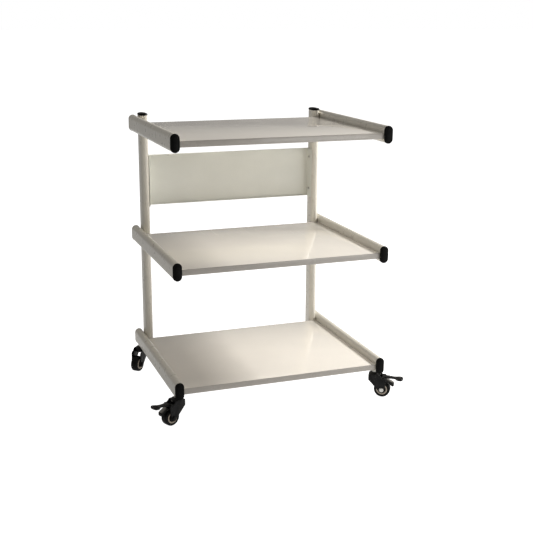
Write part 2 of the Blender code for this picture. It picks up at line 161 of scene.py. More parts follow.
def oval(width, height, steps=OVAL_STEPS):
    """Points of a flat oval, its long axis along the second coordinate."""
    radius = width / 2
    reach = height / 2 - radius
    points = []
    for side in (1, -1):
        for i in range(steps + 1):
            angle = math.pi * i / steps + (0 if side > 0 else math.pi)
            points.append((radius * math.cos(angle), side * reach + radius * math.sin(angle)))
    return points


def arc(centre, radius, start, end, steps):
    angles = (math.radians(start + (end - start) * i / steps) for i in range(steps + 1))
    return [(centre[0] + radius * math.cos(a), centre[1] + radius * math.sin(a)) for a in angles]


def facing(axis_z, axis_y=(0, 0, 1)):
    """Rotation that turns a piece's own Z to axis_z and its own Y to axis_y."""
    z, y = Vector(axis_z), Vector(axis_y)
    return Matrix((y.cross(z), y, z)).transposed().to_4x4()


ACROSS = Matrix.Rotation(math.radians(90), 4, "X")


def mesh_from(bm, name):
    mesh = bpy.data.meshes.new(name)
    bm.to_mesh(mesh)
    bm.free()
    return mesh


def combine(base, others, operation):
    """The boolean of a bmesh with others, as a new bmesh."""
    holder = bpy.data.objects.new("holder", mesh_from(base, "holder"))
    bpy.context.scene.collection.objects.link(holder)
    tools = []
    for other in others:
        tool = bpy.data.objects.new("tool", mesh_from(other, "tool"))
        bpy.context.scene.collection.objects.link(tool)
        step = holder.modifiers.new("step", "BOOLEAN")
        step.operation = operation
        step.object = tool
        tools.append(tool)
    graph = bpy.context.evaluated_depsgraph_get()
    result = bmesh.new()
    result.from_mesh(holder.evaluated_get(graph).to_mesh())
    for item in [holder, *tools]:
        bpy.data.objects.remove(item, do_unlink=True)
    return result


def softened(bm, width, segments=2, angle=35):
    """Rounds the edges sharper than angle."""
    bmesh.ops.remove_doubles(bm, verts=bm.verts, dist=1e-6)
    bmesh.ops.dissolve_limit(bm, angle_limit=math.radians(1), verts=bm.verts, edges=bm.edges)
    sharp = [e for e in bm.edges if e.is_manifold and e.calc_face_angle(0) > math.radians(angle)]
    bmesh.ops.bevel(
        bm, geom=sharp, offset=width, segments=segments, affect="EDGES", profile=0.5, clamp_overlap=True,
    )
    return bm


def piece(name, bm, looks, body, nodes, crease=32):
    """Links a bmesh as a piece that rides on a body and stands for CAD nodes."""
    mesh = mesh_from(bm, name)
    mesh.materials.append(looks)
    mesh.shade_smooth()
    mesh.set_sharp_from_angle(angle=math.radians(crease))
    made = bpy.data.objects.new(name, mesh)
    bpy.context.scene.collection.objects.link(made)
    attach(made, body)
    if nodes:
        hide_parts(*nodes)
    return made


# ---- shader helpers -------------------------------------------------------------------------------------
class Looks:
    """A Principled material whose nodes all read the piece's own coordinates."""

    def __init__(self, name, metallic=0.0, coat=0.0, coat_roughness=0.1, specular=0.5):
        self.mat = bpy.data.materials.new(name)
        self.mat.use_nodes = True
        self.tree = self.mat.node_tree
        self.shader = self.tree.nodes["Principled BSDF"]
        self.shader.inputs["Metallic"].default_value = metallic
        self.shader.inputs["Coat Weight"].default_value = coat
        self.shader.inputs["Coat Roughness"].default_value = coat_roughness
        self.shader.inputs["Specular IOR Level"].default_value = specular
        self.coords = self.tree.nodes.new("ShaderNodeTexCoord").outputs["Object"]

    def link(self, source, target):
        self.tree.links.new(source, target)

    def noise(self, scale, detail=4.0, roughness=0.55, stretch=(1, 1, 1)):
        mapping = self.tree.nodes.new("ShaderNodeMapping")
        mapping.inputs["Scale"].default_value = stretch
        self.link(self.coords, mapping.inputs["Vector"])
        node = self.tree.nodes.new("ShaderNodeTexNoise")
        node.inputs["Scale"].default_value = scale
        node.inputs["Detail"].default_value = detail
        node.inputs["Roughness"].default_value = roughness
        self.link(mapping.outputs["Vector"], node.inputs["Vector"])
        return node.outputs["Fac"]

    def spread(self, source, low, high, start=0.3, end=0.7):
        """Maps source from start..end to low..high."""
        node = self.tree.nodes.new("ShaderNodeMapRange")
        node.inputs["From Min"].default_value = start
        node.inputs["From Max"].default_value = end
        node.inputs["To Min"].default_value = low
        node.inputs["To Max"].default_value = high
        self.link(source, node.inputs["Value"])
        return node.outputs["Result"]

    def blend(self, factor, first, second):
        """Colour between two; each is a colour or a socket."""
        node = self.tree.nodes.new("ShaderNodeMix")
        node.data_type = "RGBA"
        self.link(factor, node.inputs["Factor"])
        for value, socket in ((first, node.inputs["A"]), (second, node.inputs["B"])):
            colour = next(s for s in node.inputs if s.name == socket.name and s.type == "RGBA")
            if isinstance(value, (tuple, list)):
                colour.default_value = (*value, 1.0)
            else:
                self.link(value, colour)
        return next(s for s in node.outputs if s.type == "RGBA")

    def combine(self, first, second, operation="ADD"):
        node = self.tree.nodes.new("ShaderNodeMath")
        node.operation = operation
        for value, socket in zip((first, second), node.inputs):
            if isinstance(value, (int, float)):
                socket.default_value = value
            else:
                self.link(value, socket)
        return node.outputs["Value"]

    def bump(self, height, strength, distance, under=None):
        node = self.tree.nodes.new("ShaderNodeBump")
        node.inputs["Strength"].default_value = strength
        node.inputs["Distance"].default_value = distance
        self.link(height, node.inputs["Height"])
        if under is not None:
            self.link(under, node.inputs["Normal"])
        return node.outputs["Normal"]

    def facing_up(self):
        """How far the surface faces up or down, 0 on a side and 1 on a level face."""
        geometry = self.tree.nodes.new("ShaderNodeNewGeometry")
        parts = self.tree.nodes.new("ShaderNodeSeparateXYZ")
        self.link(geometry.outputs["Normal"], parts.inputs["Vector"])
        return self.combine(parts.outputs["Z"], 0.0, "ABSOLUTE")

    def finish(self, colour, roughness, normal=None):
        self.link(colour, self.shader.inputs["Base Color"])
        self.link(roughness, self.shader.inputs["Roughness"])
        if normal is not None:
            self.link(normal, self.shader.inputs["Normal"])
        return self.mat


def scaled(colour, factor):
    return tuple(min(1.0, c * factor) for c in colour)


def powder_coat(name, colour, gloss=0.30):
    """Satin powder coat: orange-peel ripple, faint clouding and a few duller patches."""
    looks = Looks(name, coat=0.25, coat_roughness=0.12)
    cloud = looks.noise(7.0, detail=5.0)
    speck = looks.noise(420.0, detail=2.0)
    tone = looks.blend(looks.spread(cloud, 0.0, 1.0), scaled(colour, 0.955), scaled(colour, 1.03))
    tone = looks.blend(looks.spread(speck, 0.0, 0.06, 0.58, 0.75), tone, scaled(colour, 0.72))
    rough = looks.spread(looks.noise(55.0, detail=3.0), gloss - 0.05, gloss + 0.08)
    ripple = looks.bump(looks.noise(380.0, detail=1.5), 0.16, 0.0004)
    grain = looks.bump(looks.noise(1900.0, detail=2.0), 0.10, 0.0001, ripple)
    return looks.finish(tone, rough, grain)


def laminate(name, colour, edge_band_and_shade):
    """Glossy laminated board, faint smudges, hairline scuffs; darker duller sides, part edge banding, part
    painted shade.
    """
    looks = Looks(name, coat=0.6, coat_roughness=0.04)
    cloud = looks.noise(5.0, detail=6.0)
    flat = looks.blend(looks.spread(cloud, 0.0, 1.0), scaled(colour, 0.965), scaled(colour, 1.02))
    fleck = looks.noise(900.0, detail=1.0)
    flat = looks.blend(looks.spread(fleck, 0.0, 0.06, 0.55, 0.75), flat, scaled(colour, 0.7))
    # painted shade: the side faces get a darker colour than the top, part real edge banding and part the
    # shade on the shelf fronts
    edge = looks.blend(looks.spread(looks.noise(30.0, stretch=(1, 1, 12)), 0.0, 1.0),
                       scaled(edge_band_and_shade, 0.93), scaled(edge_band_and_shade, 1.05))
    top = looks.spread(looks.facing_up(), 0.0, 1.0, 0.55, 0.85)
    tone = looks.blend(top, edge, flat)
    smudge = looks.spread(looks.noise(11.0, detail=7.0, roughness=0.65), 0.10, 0.20, 0.35, 0.75)
    scuff = looks.spread(looks.noise(260.0, detail=3.0, stretch=(1, 0.03, 1)), 0.0, 0.10, 0.60, 0.78)
    level = looks.combine(smudge, scuff)
    rough = looks.combine(looks.combine(level, 0.16), looks.combine(top, -0.16, "MULTIPLY"))
    ripple = looks.bump(looks.noise(28.0, detail=2.0), 0.05, 0.0006)
    return looks.finish(tone, rough, ripple)


def moulded(name, colour, gloss, grain=0.25, dust=0.0, dust_colour=(0.30, 0.28, 0.25), specular=0.5):
    """Moulded plastic or rubber: fine grain, uneven sheen and, if asked, a film of dust."""
    looks = Looks(name, specular=specular)
    cloud = looks.noise(60.0, detail=4.0)
    tone = looks.blend(looks.spread(cloud, 0.0, 1.0), scaled(colour, 0.75), scaled(colour, 1.3))
    if dust:
        film = looks.noise(130.0, detail=6.0, roughness=0.7)
        tone = looks.blend(looks.spread(film, 0.0, dust, 0.48, 0.72), tone, dust_colour)
    rough = looks.spread(looks.noise(95.0, detail=3.0), gloss - 0.07, gloss + 0.10)
    skin = looks.bump(looks.noise(1500.0, detail=2.5), grain, 0.00025)
    return looks.finish(tone, rough, skin)


def plated(name, colour, gloss):
    """Zinc-plated steel with a drawn grain and cloudy tarnish."""
    looks = Looks(name, metallic=1.0)
    cloud = looks.noise(140.0, detail=5.0)
    tone = looks.blend(looks.spread(cloud, 0.0, 1.0), scaled(colour, 0.78), scaled(colour, 1.12))
    drawn = looks.noise(900.0, detail=2.0, stretch=(1, 1, 0.15))
    rough = looks.spread(drawn, gloss - 0.08, gloss + 0.14)
    return looks.finish(tone, rough, looks.bump(drawn, 0.12, 0.0001))


def black_paint(name, colour, gloss):
    """Black electro-coat with ripple and fine rubbed spots."""
    looks = Looks(name, coat=0.05, coat_roughness=0.22, specular=0.22)
    rub = looks.noise(240.0, detail=6.0, roughness=0.7)
    tone = looks.blend(looks.spread(rub, 0.0, 0.35, 0.60, 0.80), colour, (0.03, 0.028, 0.026))
    rough = looks.spread(looks.noise(120.0, detail=3.0), gloss - 0.06, gloss + 0.12)
    return looks.finish(tone, rough, looks.bump(looks.noise(1100.0, detail=2.0), 0.18, 0.0002))


FRAME_PAINT = powder_coat("frame_paint", (0.72, 0.69, 0.615))
PANEL_PAINT = powder_coat("panel_paint", (0.74, 0.745, 0.685), gloss=0.36)
# the last colour is for the shelf sides: part real edge banding, part painted shade
BOARD = laminate("shelf_laminate", (0.89, 0.85, 0.785), (0.50, 0.465, 0.42))
BLACK_CAP = moulded("black_caps", (0.0016, 0.0015, 0.0014), 0.46, grain=0.12, specular=0.10)
LIGHT_CAP = moulded("light_caps", (0.60, 0.575, 0.52), 0.42, grain=0.15)
STEEL = plated("bright_steel", (0.62, 0.61, 0.58), 0.26)
DARK_STEEL = plated("dark_steel", (0.30, 0.29, 0.27), 0.34)
CASTER_BLACK = black_paint("caster_black", (0.0020, 0.0020, 0.0022), 0.36)
TYRE_BLACK = moulded("tyre_black", (0.0022, 0.0022, 0.0022), 0.48, grain=0.3, dust=0.03, specular=0.18)
WHEEL_BEIGE = moulded("wheel_core", (0.50, 0.43, 0.35), 0.38, grain=0.1)
WHEEL_DARK = moulded("wheel_recess", (0.020, 0.017, 0.015), 0.5, grain=0.2)


# ---- frame ----------------------------------------------------------------------------------------------
def middle_and_size(node):
    low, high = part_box(node)
    return (low + high) / 2, high - low


def oval_ring(width, height, inset, z):
    return [(u, v, z) for u, v in oval(width - 2 * inset, height - 2 * inset)]


def tube(width, height, length):
    """An open flat-oval tube along Z, centred, with broken edges at its ends."""
    end = length / 2
    profile = [
        (TUBE_EDGE, -end), (0, TUBE_EDGE - end), (0, end - TUBE_EDGE), (TUBE_EDGE, end),
        (TUBE_WALL, end), (TUBE_WALL, -end),
    ]
    return loft([oval_ring(width, height, inset, z) for inset, z in profile], closed=True)


def cap(width, height, rim, dome, groove=0.0):
    """A tube cap standing on z = 0: plug below, rim, rounded shoulder and a slightly crowned face.

    A groove, if any, runs round the face a little way in from the shoulder."""
    plug = CAP_OVERHANG + TUBE_WALL + GAP
    profile = [(plug + 0.001, -CAP_PLUG_DEPTH), (plug, -CAP_PLUG_DEPTH + 0.0015), (plug, 0.0), (0.0003, 0.0),
               (0.0, 0.0003), (0.0, rim)]
    rise = dome * 0.72
    for step in range(1, 7):
        turn = math.radians(15 * step)
        profile.append((CAP_SHOULDER * (1 - math.cos(turn)), rim + rise * math.sin(turn)))
    if groove:
        start = CAP_SHOULDER + 0.0006
        base = rim + rise
        profile += [(start, base), (start + 0.0003, base - groove), (start + 0.0008, base - groove),
                    (start + 0.0012, base + 0.1 * dome)]
    for share in (0.35, 0.7, 1.0):
        inset = CAP_SHOULDER + 0.002 + share * (width / 2 - CAP_SHOULDER - 0.0035)
        profile.append((inset, rim + dome * (0.84 + 0.16 * math.sin(share * math.pi / 2))))
    return loft([oval_ring(width, height, inset, z) for inset, z in profile])


def build_tubes():
    for level in LEVELS:
        for side in SIDES:
            name = f"{level}_{side}"
            centre, size = middle_and_size(f"arm_{name}")
            place = Matrix.Translation(centre) @ facing((0, 1, 0))
            piece(f"tube_arm_{name}", placed(tube(size.x, size.z, size.y), place),
                  FRAME_PAINT, "frame", [f"arm_{name}"])
            front = Matrix.Translation((centre.x, centre.y - size.y / 2 - GAP, centre.z))
            low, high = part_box(f"front_cap_{name}")
            reach = centre.y - size.y / 2 - GAP - low.y
            piece(f"cap_front_{name}",
                  placed(cap(high.x - low.x, high.z - low.z, CAP_RIM, reach - CAP_RIM, groove=CAP_GROOVE),
                         front @ facing((0, -1, 0))),
                  BLACK_CAP, "frame", [f"front_cap_{name}"])
            rear = Matrix.Translation((centre.x, centre.y + size.y / 2 + GAP, centre.z))
            low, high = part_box(f"rear_cap_{name}")
            reach = high.y - (centre.y + size.y / 2 + GAP)
            piece(f"cap_rear_{name}",
                  placed(cap(high.x - low.x, high.z - low.z, CAP_RIM, reach - CAP_RIM),
                         rear @ facing((0, 1, 0))),
                  LIGHT_CAP, "frame", [f"rear_cap_{name}"])
    for side in SIDES:
        centre, size = middle_and_size(f"upright_{side}")
        piece(f"tube_upright_{side}", placed(tube(size.x, size.y, size.z), Matrix.Translation(centre)),
              FRAME_PAINT, "frame", [f"upright_{side}"])
        low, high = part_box(f"upright_cap_{side}")
        top = centre.z + size.z / 2 + GAP
        piece(f"cap_upright_{side}",
              placed(cap(high.x - low.x, high.y - low.y, CAP_RIM, high.z - top - CAP_RIM, groove=CAP_GROOVE),
                     Matrix.Translation((centre.x, centre.y, top))),
              BLACK_CAP, "frame", [f"upright_cap_{side}"])
        foot = centre.z - size.z / 2 - GAP
        low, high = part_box(f"foot_plug_{side}")
        piece(f"plug_foot_{side}",
              placed(cap(high.x - low.x, high.y - low.y, CAP_FOOT_RIM, foot - low.z - CAP_FOOT_RIM),
                     Matrix.Translation((centre.x, centre.y, foot)) @ facing((0, 0, -1), (0, 1, 0))),
              BLACK_CAP, "frame", [f"foot_plug_{side}"])


def build_shelves():
    for level in LEVELS:
        centre, size = middle_and_size(f"shelf_{level}")
        bm = block(size, (0, 0, 0))
        bmesh.ops.bevel(bm, geom=bm.edges[:], offset=SHELF_EDGE, segments=3, affect="EDGES", profile=0.5)
        piece(f"board_{level}", placed(bm, Matrix.Translation(centre)),
              BOARD, "frame", [f"shelf_{level}"])


def panel_plan(half, front, back, steps=8):
    """Outline of the folded sheet seen from above: a shallow U, open to the front."""
    inner, face = half - PANEL_SHEET, back - PANEL_SHEET
    small = PANEL_BEND - PANEL_SHEET
    return [
        (half, front),
        *arc((half - PANEL_BEND, back - PANEL_BEND), PANEL_BEND, 0, 90, steps),
        *arc((PANEL_BEND - half, back - PANEL_BEND), PANEL_BEND, 90, 180, steps),
        (-half, front), (-inner, front),
        *arc((small - inner, face - small), small, 180, 90, steps),
        *arc((inner - small, face - small), small, 90, 0, steps),
        (inner, front),
    ]


def build_panel():
    low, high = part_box("back_panel")
    tray = prism(panel_plan(high.x, low.y, high.y), low.z, high.z)
    depth = PANEL_LIP + PANEL_SHEET / 2
    inset = PANEL_SHEET / 2 + 0.00002
    lips = [
        block((2 * high.x - PANEL_SHEET, depth, PANEL_SHEET), (0, high.y - PANEL_SHEET / 2 - depth / 2, z))
        for z in (low.z + inset, high.z - inset)
    ]
    sheet = softened(combine(tray, lips, "UNION"), PANEL_EDGE, segments=2)
    piece("panel_back", sheet, PANEL_PAINT, "frame", ["back_panel"])


def screw(radius, length):
    """A cross-slot screw about Z, its head standing on z = 0."""
    head, shank = SCREW_HEAD_H, length - SCREW_HEAD_H
    body = turned([
        (0.0005, -shank), (SCREW_SHANK_R, 0.002 - shank), (SCREW_SHANK_R, 0.0), (radius - 0.0002, 0.0),
        (radius, 0.0002), (radius, 0.4 * head), (0.93 * radius, 0.62 * head), (0.78 * radius, 0.82 * head),
        (0.5 * radius, 0.96 * head), (0.2 * radius, head),
    ], 32)
    long, wide, deep = SCREW_SLOT
    slots = [block(size, (0, 0, head)) for size in ((long, wide, deep), (wide, long, deep))]
    return combine(body, slots, "DIFFERENCE")


def build_screws():
    for side in SIDES:
        outward = -1 if side == "right" else 1
        for height in ("lower", "upper"):
            node = f"panel_screw_{side}_{height}"
            low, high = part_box(node)
            seat_x = low.x + SCREW_HEAD_H if outward < 0 else high.x - SCREW_HEAD_H
            place = Matrix.Translation((seat_x, (low.y + high.y) / 2, (low.z + high.z) / 2))
            made = screw((high.z - low.z) / 2, high.x - low.x)
            piece(f"screw_{side}_{height}", placed(made, place @ facing((outward, 0, 0))),
                  STEEL, "frame", [node])


# ---- casters, each drawn in its own axes: +X is where the wheel trails, Z is the swivel axis -------------
LEG_INNER = 0.0145         # the fork's legs, across the wheel
LEG_OUTER = 0.0175
LEG_TOP = 0.0735
BOSS_R = 0.0095
HOOD_REACH = 0.0165        # front of the fork's hood from the swivel axis
HOOD_LOW = 0.054
HOOD_SHEET = 0.0025
HEAD_R = 0.0185
HEAD_LOW = 0.0615
HEAD_ROUND = 0.0065
KINGPIN_R = 0.0060
KINGPIN_HOLE_R = 0.0063
STEM_R = 0.0050
COLLAR_R = 0.0095
FORK_EDGE = 0.0005
WHEEL_R = 0.025
TYRE_HALF = 0.012
HUB_R = 0.0168
TREAD_ROUND = 0.0040
TRAIL = 0.025
AXLE_R = 0.0038
AXLE_HOLE_R = 0.0043
AXLE_HEX = 0.0108          # across the flats
AXLE_HEAD_H = 0.0035
WASHER_H = 0.0008
PEDAL_PIVOT = (0.0275, 0.0610)
PEDAL_LIFT = {"front_left": 5.0, "front_right": -2.5}    # degrees above level at rest
PEDAL_LOW, PEDAL_HIGH = 0.0600, 0.0659
PEDAL_SHEET = 0.0016
PEDAL_BARREL_R = 0.004
PIN_R = 0.002
PIN_HOLE_R = 0.0023
PIN_HEAD_R, PIN_HEAD_H = 0.0035, 0.0015
PLATE_SHEET = 0.0015
PLATE_WEBS = ((0.0053, 0.0066), (-0.0066, -0.0053))
# painted highlight: along this stretch the brake plate's up-facing top takes bare steel so it shows lighter
LIT_TOP_FROM, LIT_TOP_TO = 0.046, 0.0595


def leg_outline(braked):
    """Side view of a fork leg; an unbraked one is narrower behind the wheel."""
    boss = arc((TRAIL, WHEEL_R), BOSS_R, 215, 385, 20)
    nose = [(HOOD_SHEET - HOOD_REACH, LEG_TOP), (0.0008 - HOOD_REACH, LEG_TOP - 0.0008),
            (-HOOD_REACH, LEG_TOP - HOOD_SHEET), (-HOOD_REACH, HOOD_LOW + 0.001)]
    if braked:
        back = [(0.0370, 0.0450), (0.0370, 0.0600), (0.0330, 0.0655), (0.0230, 0.0655), (0.0150, LEG_TOP)]
    else:
        back = [(0.0315, 0.0430), (0.0315, 0.0600), (0.0285, 0.0640), (0.0230, 0.0655), (0.0150, LEG_TOP)]
    return nose + boss + back


def fork(braked, top):
    """Two legs and the hood in front of them, under a rounded swivel head."""
    legs = [
        placed(prism(leg_outline(braked), low, high), ACROSS)
        for low, high in ((LEG_INNER, LEG_OUTER), (-LEG_OUTER, -LEG_INNER))
    ]
    inner = HOOD_SHEET - HOOD_REACH
    hood = [
        (-HOOD_REACH, HOOD_LOW), (inner, HOOD_LOW), (inner, HEAD_LOW), (0.001, HEAD_LOW),
        (0.001, LEG_TOP), (inner, LEG_TOP), (-HOOD_REACH, LEG_TOP - HOOD_SHEET),
    ]
    legs.append(placed(prism(hood, -LEG_OUTER + 0.0001, LEG_OUTER - 0.0001), ACROSS))
    edge, base = HEAD_R - HEAD_ROUND, top - HEAD_ROUND
    rounding = (math.radians(a) for a in range(0, 91, 15))
    dome = [(edge + HEAD_ROUND * math.cos(a), base + 0.0063 * math.sin(a)) for a in rounding]
    head = turned([
        (HEAD_R, HEAD_LOW), *dome, (HEAD_R - 0.0070, top), (0.0102, top), (0.0098, top - 0.0008),
        (0.0090, top - 0.0008), (0.0082, top),
    ], 64)
    solid = combine(head, legs, "UNION")
    drills = [turned([(KINGPIN_HOLE_R, 0.05), (KINGPIN_HOLE_R, 0.09)], 32)]
    across = [(TRAIL, WHEEL_R, AXLE_HOLE_R)]
    if braked:
        across.append((*PEDAL_PIVOT, PIN_HOLE_R))
    for trail, height, radius in across:
        drill = turned([(radius, -2 * LEG_OUTER), (radius, 2 * LEG_OUTER)], 24)
        drills.append(placed(drill, Matrix.Translation((trail, 0, height)) @ ACROSS))
    return softened(combine(solid, drills, "DIFFERENCE"), FORK_EDGE, segments=2)


def rivet_heads(braked):
    """Rivet heads set in the fork: one on each leg under the head and one at the back of the head."""
    def dome(radius, height):
        crown = [(0.85 * radius, 0.6 * height), (0.4 * radius, height)]
        return turned([(radius, -0.0004), (radius, 0.0), *crown], 20)

    spots = [Matrix.Translation((0.0, -LEG_OUTER, 0.0665)) @ ACROSS,
             Matrix.Translation((0.0, LEG_OUTER, 0.0665)) @ ACROSS.inverted()]
    heads = [placed(dome(0.0017, 0.0008), spot) for spot in spots]
    if braked:
        behind = Matrix.Translation((HEAD_R, 0, 0.0700)) @ facing((1, 0, 0))
        heads.append(placed(dome(0.0024, 0.0012), behind))
    return combine(heads[0], heads[1:], "UNION")


def stem(low, top, head_top, arm_under):
    """Kingpin with its rivet head below, the stem above it, and a hexagon collar between fork and arm."""
    spindle = turned([
        (0.0080, low), (0.0090, low + 0.0008), (0.0090, HEAD_LOW - GAP), (KINGPIN_R, HEAD_LOW - GAP),
        (KINGPIN_R, head_top + 0.001), (STEM_R, head_top + 0.001), (STEM_R, top - 0.001), (0.0040, top),
    ], 40)
    collar = turned([
        (COLLAR_R - 0.0007, head_top + GAP), (COLLAR_R, head_top + 0.0009), (COLLAR_R, arm_under - 0.0009),
        (COLLAR_R - 0.0007, arm_under - GAP),
    ], 6)
    return combine(spindle, [collar], "UNION")


def tyre():
    """A tyre about Z with a round-shouldered tread and a chamfer where it meets the rim."""
    half, bore = TYRE_HALF, HUB_R + 0.0002
    edge = WHEEL_R - TREAD_ROUND
    side = [(bore, half - 0.0012), (bore + 0.0012, half - 0.0004), (edge, half - 0.0002)]
    rounding = (math.radians(a) for a in range(10, 91, 10))
    shoulder = [(edge + 0.0037 * math.sin(a), half - TREAD_ROUND * (1 - math.cos(a))) for a in rounding]
    crown = [(WHEEL_R - 0.0001, half - 0.0058), (WHEEL_R, 0.0020)]
    upper = side + shoulder + crown
    lower = [(r, -z) for r, z in reversed(upper)]
    return turned(upper + lower, 96, closed=True)


def hub_ring():
    """The wheel's light rim, one lip on each side joined by a sleeve under the tyre."""
    side, inner = TYRE_HALF - 0.0002, HUB_R - 0.0042
    upper = [
        (inner, 0.0060), (inner, side - 0.0009), (inner + 0.0006, side - 0.0002), (inner + 0.0014, side),
        (HUB_R - 0.0012, side), (HUB_R - 0.0004, side - 0.0003), (HUB_R, side - 0.0010),
    ]
    lower = [(r, -z) for r, z in reversed(upper)]
    return turned(upper + lower, 96, closed=True)


def hub_core():
    """Dark web and barrel inside the rim, with a shallow step round the barrel."""
    rim, bore, end = HUB_R - 0.0043, 0.0042, LEG_INNER - GAP
    upper = [
        (bore, end), (0.0070, end), (0.0080, end - 0.0008), (0.0080, 0.0064), (0.0090, 0.0055),
        (rim - 0.001, 0.0050), (rim, 0.0056),
    ]
    lower = [(r, -z) for r, z in reversed(upper)]
    return turned(upper + lower, 72, closed=True)


def bolt(radius, across_flats, height):
    """An axle bolt: washer and hexagon outside each leg, with the end of the bolt showing."""
    seat = LEG_OUTER + GAP
    pin = turned([(radius, -seat - height), (radius, seat + height)], 32)
    washers, nuts = [], []
    for sign in (1, -1):
        ends = (sign * seat, sign * (seat + WASHER_H))
        washers.append(turned([(across_flats * 0.62, z) for z in ends], 40))
        corner = across_flats / math.sqrt(3)
        start, stop = sign * (seat + WASHER_H), sign * (seat + height - 0.0006)
        nuts.append(turned([
            (corner, start), (corner, stop - sign * 0.0006), (corner * 0.88, stop),
        ], 6))
    return combine(pin, washers + nuts, "UNION")


def rivet(radius, head, height):
    """A pin across the fork with a domed head outside each leg."""
    seat = LEG_OUTER + GAP
    rounding = (math.radians(a) for a in (0, 25, 50, 75))
    dome = [(head * math.cos(a), seat + height * math.sin(a)) for a in rounding]
    upper = [(radius, seat), *dome]
    lower = [(r, -z) for r, z in reversed(upper)]
    return turned(lower + upper, 28)


def pedal_outline(inset=0.0):
    """Plan of the pedal: broad arm, narrow neck and a flared end, (trail, half width) pairs mirrored."""
    edge = [
        (0.0285, 0.0100), (0.0440, 0.0100), (0.0490, 0.0092), (0.0530, 0.0083), (0.0570, 0.0080),
        (0.0610, 0.0082), (0.0650, 0.0093), (0.0690, 0.0112), (0.0730, 0.0132), (0.0770, 0.0144),
        (0.0810, 0.0145), (0.0840, 0.0132), (0.0862, 0.0100), (0.0874, 0.0060), (0.0879, 0.0025),
    ]
    middle = 0.058
    edge = [(x + inset * (1 if x < middle else -1), y - inset) for x, y in edge]
    return edge + [(x, -y) for x, y in reversed(edge)]


def pedal(lift):
    """Pressed pedal about its pin: a thin plate with a turned-down edge, ribs, beads, barrel and cam."""
    pivot_x, pivot_z = PEDAL_PIVOT
    high = PEDAL_HIGH
    plate = softened(prism(pedal_outline(), PEDAL_LOW, high), 0.0010, segments=3)
    hollow = prism(pedal_outline(PEDAL_SHEET), PEDAL_LOW - 0.001, high - PEDAL_SHEET)
    plate = combine(plate, [hollow], "DIFFERENCE")
    under_arm = block((0.040, 0.030, 0.010), (0.0480, 0, 0.0575))
    plate = combine(plate, [under_arm], "DIFFERENCE")
    ribs = [block((0.0012, width, 0.0014), (x, 0, high - 0.0001))
            for x, width in ((0.0720, 0.020), (0.0752, 0.023), (0.0784, 0.024), (0.0816, 0.023))]
    beads = [block((0.0300, 0.0014, 0.0012), (0.0460, y, high - 0.0002)) for y in (-0.0052, 0.0052)]
    at_pin = Matrix.Translation((pivot_x, 0, pivot_z)) @ ACROSS
    ends = (GAP - LEG_INNER, LEG_INNER - GAP)
    barrel = placed(turned([(PEDAL_BARREL_R, end) for end in ends], 32), at_pin)
    cam = block((0.007, 0.014, 0.0135), (pivot_x + 0.0005, 0, pivot_z - 0.00325))
    solid = combine(plate, [barrel, cam, *ribs, *beads], "UNION")
    drill = placed(turned([(PIN_HOLE_R, -0.02), (PIN_HOLE_R, 0.02)], 24), at_pin)
    solid = combine(solid, [drill], "DIFFERENCE")
    about_pin = Matrix.Translation((pivot_x, 0, pivot_z)) @ Matrix.Rotation(math.radians(-lift), 4, "Y")
    return placed(solid, about_pin @ Matrix.Translation((-pivot_x, 0, -pivot_z)))


def brake_plate():
    """Bent plate between the legs, sloping out over the wheel under the pedal, with a web on each side."""
    spine = [
        (0.0325, 0.0560, 0.0142), (0.0350, 0.0555, 0.0142), (0.0375, 0.0545, 0.0138),
        (0.0440, 0.0521, 0.0118), (0.0500, 0.0500, 0.0102), (0.0555, 0.0480, 0.0095),
        (0.0575, 0.0470, 0.0092), (0.0588, 0.0460, 0.0089), (0.0597, 0.0447, 0.0086),
        (0.0601, 0.0432, 0.0084), (0.0604, 0.0390, 0.0076), (0.0605, 0.0372, 0.0066),
    ]
    rings = []
    for i, (x, z, half) in enumerate(spine):
        before, after = spine[max(i - 1, 0)], spine[min(i + 1, len(spine) - 1)]
        along = Vector((after[0] - before[0], after[1] - before[1])).normalized() * (PLATE_SHEET / 2)
        low, high = (x + along.y, z - along.x), (x - along.y, z + along.x)
        rings.append([(u, w, v) for (u, v), w in ((low, -half), (low, half), (high, half), (high, -half))])
    side = [
        (0.0440, 0.0521), (0.0445, 0.0465), (0.0470, 0.0430), (0.0505, 0.0395), (0.0540, 0.0368),
        (0.0570, 0.0355), (0.0595, 0.0362), (0.0604, 0.0380), (0.0600, 0.0432), (0.0585, 0.0462),
        (0.0555, 0.0480),
    ]
    webs = [placed(prism(side, low, high), ACROSS) for low, high in PLATE_WEBS]
    return softened(combine(loft(rings), webs, "UNION"), 0.0003, segments=2, angle=50)


def painted_lit_top(plate, place):
    """Painted highlight: gives the plate's up-facing sloping top a second, bare metal finish so it shows
    lighter, standing in for light on it.
    """
    plate.data.materials.append(DARK_STEEL)
    inward = place.inverted()
    for face in plate.data.polygons:
        trail = (inward @ face.center).x
        face.material_index = 1 if face.normal.z > 0.5 and LIT_TOP_FROM < trail < LIT_TOP_TO else 0


def caster_axes(name):
    """Where the caster stands and how it is turned, from its two joints."""
    spots = {j["name"]: Vector(j["pos_m"]) for j in frame["joints"]}
    swivel, wheel = spots[f"swivel_{name}"], spots[f"roll_{name}"]
    trail = Vector((wheel.x - swivel.x, wheel.y - swivel.y, 0))
    turn = math.atan2(trail.y, trail.x)
    return Matrix.Translation((swivel.x, swivel.y, 0)) @ Matrix.Rotation(turn, 4, "Z")


def blackened(axle_bolt, axle):
    """Gives the axle bolt's end on one side of the fork the caster's black finish."""
    axle_bolt.data.materials.append(CASTER_BLACK)
    inward = axle.inverted()
    for face in axle_bolt.data.polygons:
        face.material_index = 1 if (inward @ face.center).z < -LEG_OUTER else 0


